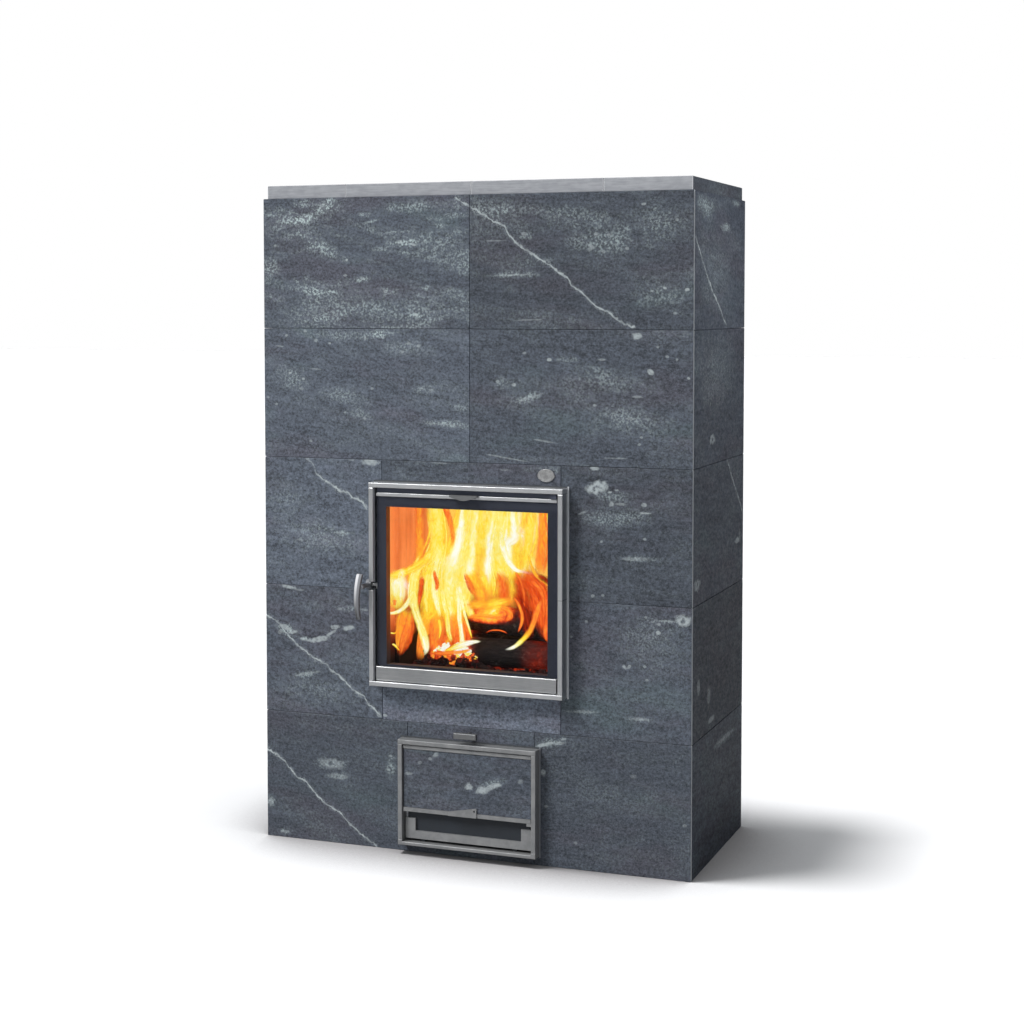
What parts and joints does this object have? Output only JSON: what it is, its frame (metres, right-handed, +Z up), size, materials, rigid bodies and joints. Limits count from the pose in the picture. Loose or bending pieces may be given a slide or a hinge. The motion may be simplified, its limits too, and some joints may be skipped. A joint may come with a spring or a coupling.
{
  "type": "soapstone masonry heater",
  "caption": "Free-standing soapstone masonry heater: stone block shell, glazed firebox door, stone-faced ash door over an ash drawer, inner firebox, side flues and a rear flue collar.",
  "frame": {"origin": "centre of the base on the floor", "axes": "+X to the right seen from the front, -Y towards the front with the doors, +Z up"},
  "size_m": [1.02, 0.5335, 1.51],
  "materials": {
    "soapstone": "honed soapstone with pale veins",
    "slab_stone": "honed soapstone, pale on its front edge",
    "core_stone": "sawn soapstone",
    "satin_steel": "satin",
    "black_steel": "matt black",
    "oval_steel": "satin",
    "cast_iron": "rough cast",
    "glass": "clear, heat resistant",
    "fibre": "woven glass fibre rope",
    "insulation": "ceramic fibre board",
    "firewood": "burning bark and char",
    "embers": "glowing ash and embers"
  },
  "bodies": {
    "heater": {"front_stone_base_left": "soapstone", "front_stone_base_right": "soapstone", "side_stones_base": "soapstone", "front_stone_lower_left": "soapstone", "front_stone_lower_right": "soapstone", "side_stones_lower": "soapstone", "front_stone_middle_left": "soapstone", "front_stone_middle_right": "soapstone", "side_stones_middle": "soapstone", "front_stone_upper_left": "soapstone", "front_stone_upper_right": "soapstone", "side_stones_upper": "soapstone", "front_stone_top_left": "soapstone", "front_stone_top_right": "soapstone", "side_stones_top": "soapstone", "door_lintel_stone": "soapstone", "door_sill_stone": "soapstone", "ash_lintel_stone": "soapstone", "threshold_stone": "soapstone", "back_stones": "soapstone", "top_slab_far_left": "slab_stone", "top_slab_left": "slab_stone", "top_slab_right": "slab_stone", "top_slab_far_right": "slab_stone", "base_slab": "core_stone", "ash_chamber_walls": "core_stone", "firebox_floor": "core_stone", "firebox_side_walls": "core_stone", "firebox_back_wall": "core_stone", "throat_slab": "core_stone", "upper_chamber_walls": "core_stone", "core_roof_slab": "core_stone", "door_flange": "satin_steel", "door_frame_rails": "satin_steel", "door_frame_stiles": "satin_steel", "door_hinge_pins": "satin_steel", "ash_flange": "satin_steel", "ash_frame_bars": "satin_steel", "ash_hinge_pins": "satin_steel", "flue_collar": "satin_steel", "oval_plate": "oval_steel", "grate": "cast_iron", "insulation_board": "insulation", "logs": "firewood", "ember_bed": "embers"},
    "door": {"door_leaf": "black_steel", "door_glass": "glass", "door_gasket": "fibre", "door_top_bar": "satin_steel", "door_bottom_panel": "satin_steel"},
    "handle": {"door_handle": "satin_steel", "latch_shaft": "satin_steel"},
    "slide": {"air_slide": "satin_steel"},
    "ash_door": {"ash_leaf": "satin_steel", "ash_leaf_stone": "soapstone"},
    "drawer": {"ash_drawer": "black_steel", "ash_drawer_trim": "satin_steel"},
    "air_control": {"air_control_bar": "satin_steel", "air_control_rod": "satin_steel", "air_control_plate": "satin_steel"}
  },
  "joints": [
    {"name": "door_hinge", "type": "hinge", "parent": "heater", "child": "door", "pos_m": [0.208, -0.259, 0.6], "axis": [0, 0, 1], "range_deg": [0, 110]},
    {"name": "handle_turn", "type": "hinge", "parent": "door", "child": "handle", "pos_m": [-0.2375, -0.245, 0.607], "axis": [-1, 0, 0], "range_deg": [0, 60]},
    {"name": "air_slide_travel", "type": "slide", "parent": "door", "child": "slide", "axis": [1, 0, 0], "range_m": [-0.02, 0.02]},
    {"name": "ash_door_hinge", "type": "hinge", "parent": "heater", "child": "ash_door", "pos_m": [0.147, -0.2505, 0.17], "axis": [0, 0, 1], "range_deg": [0, 110]},
    {"name": "drawer_travel", "type": "slide", "parent": "heater", "child": "drawer", "axis": [0, -1, 0], "range_m": [0, 0.24]},
    {"name": "air_control_travel", "type": "slide", "parent": "heater", "child": "air_control", "axis": [0, -1, 0], "range_m": [0, 0.05]}
  ]
}
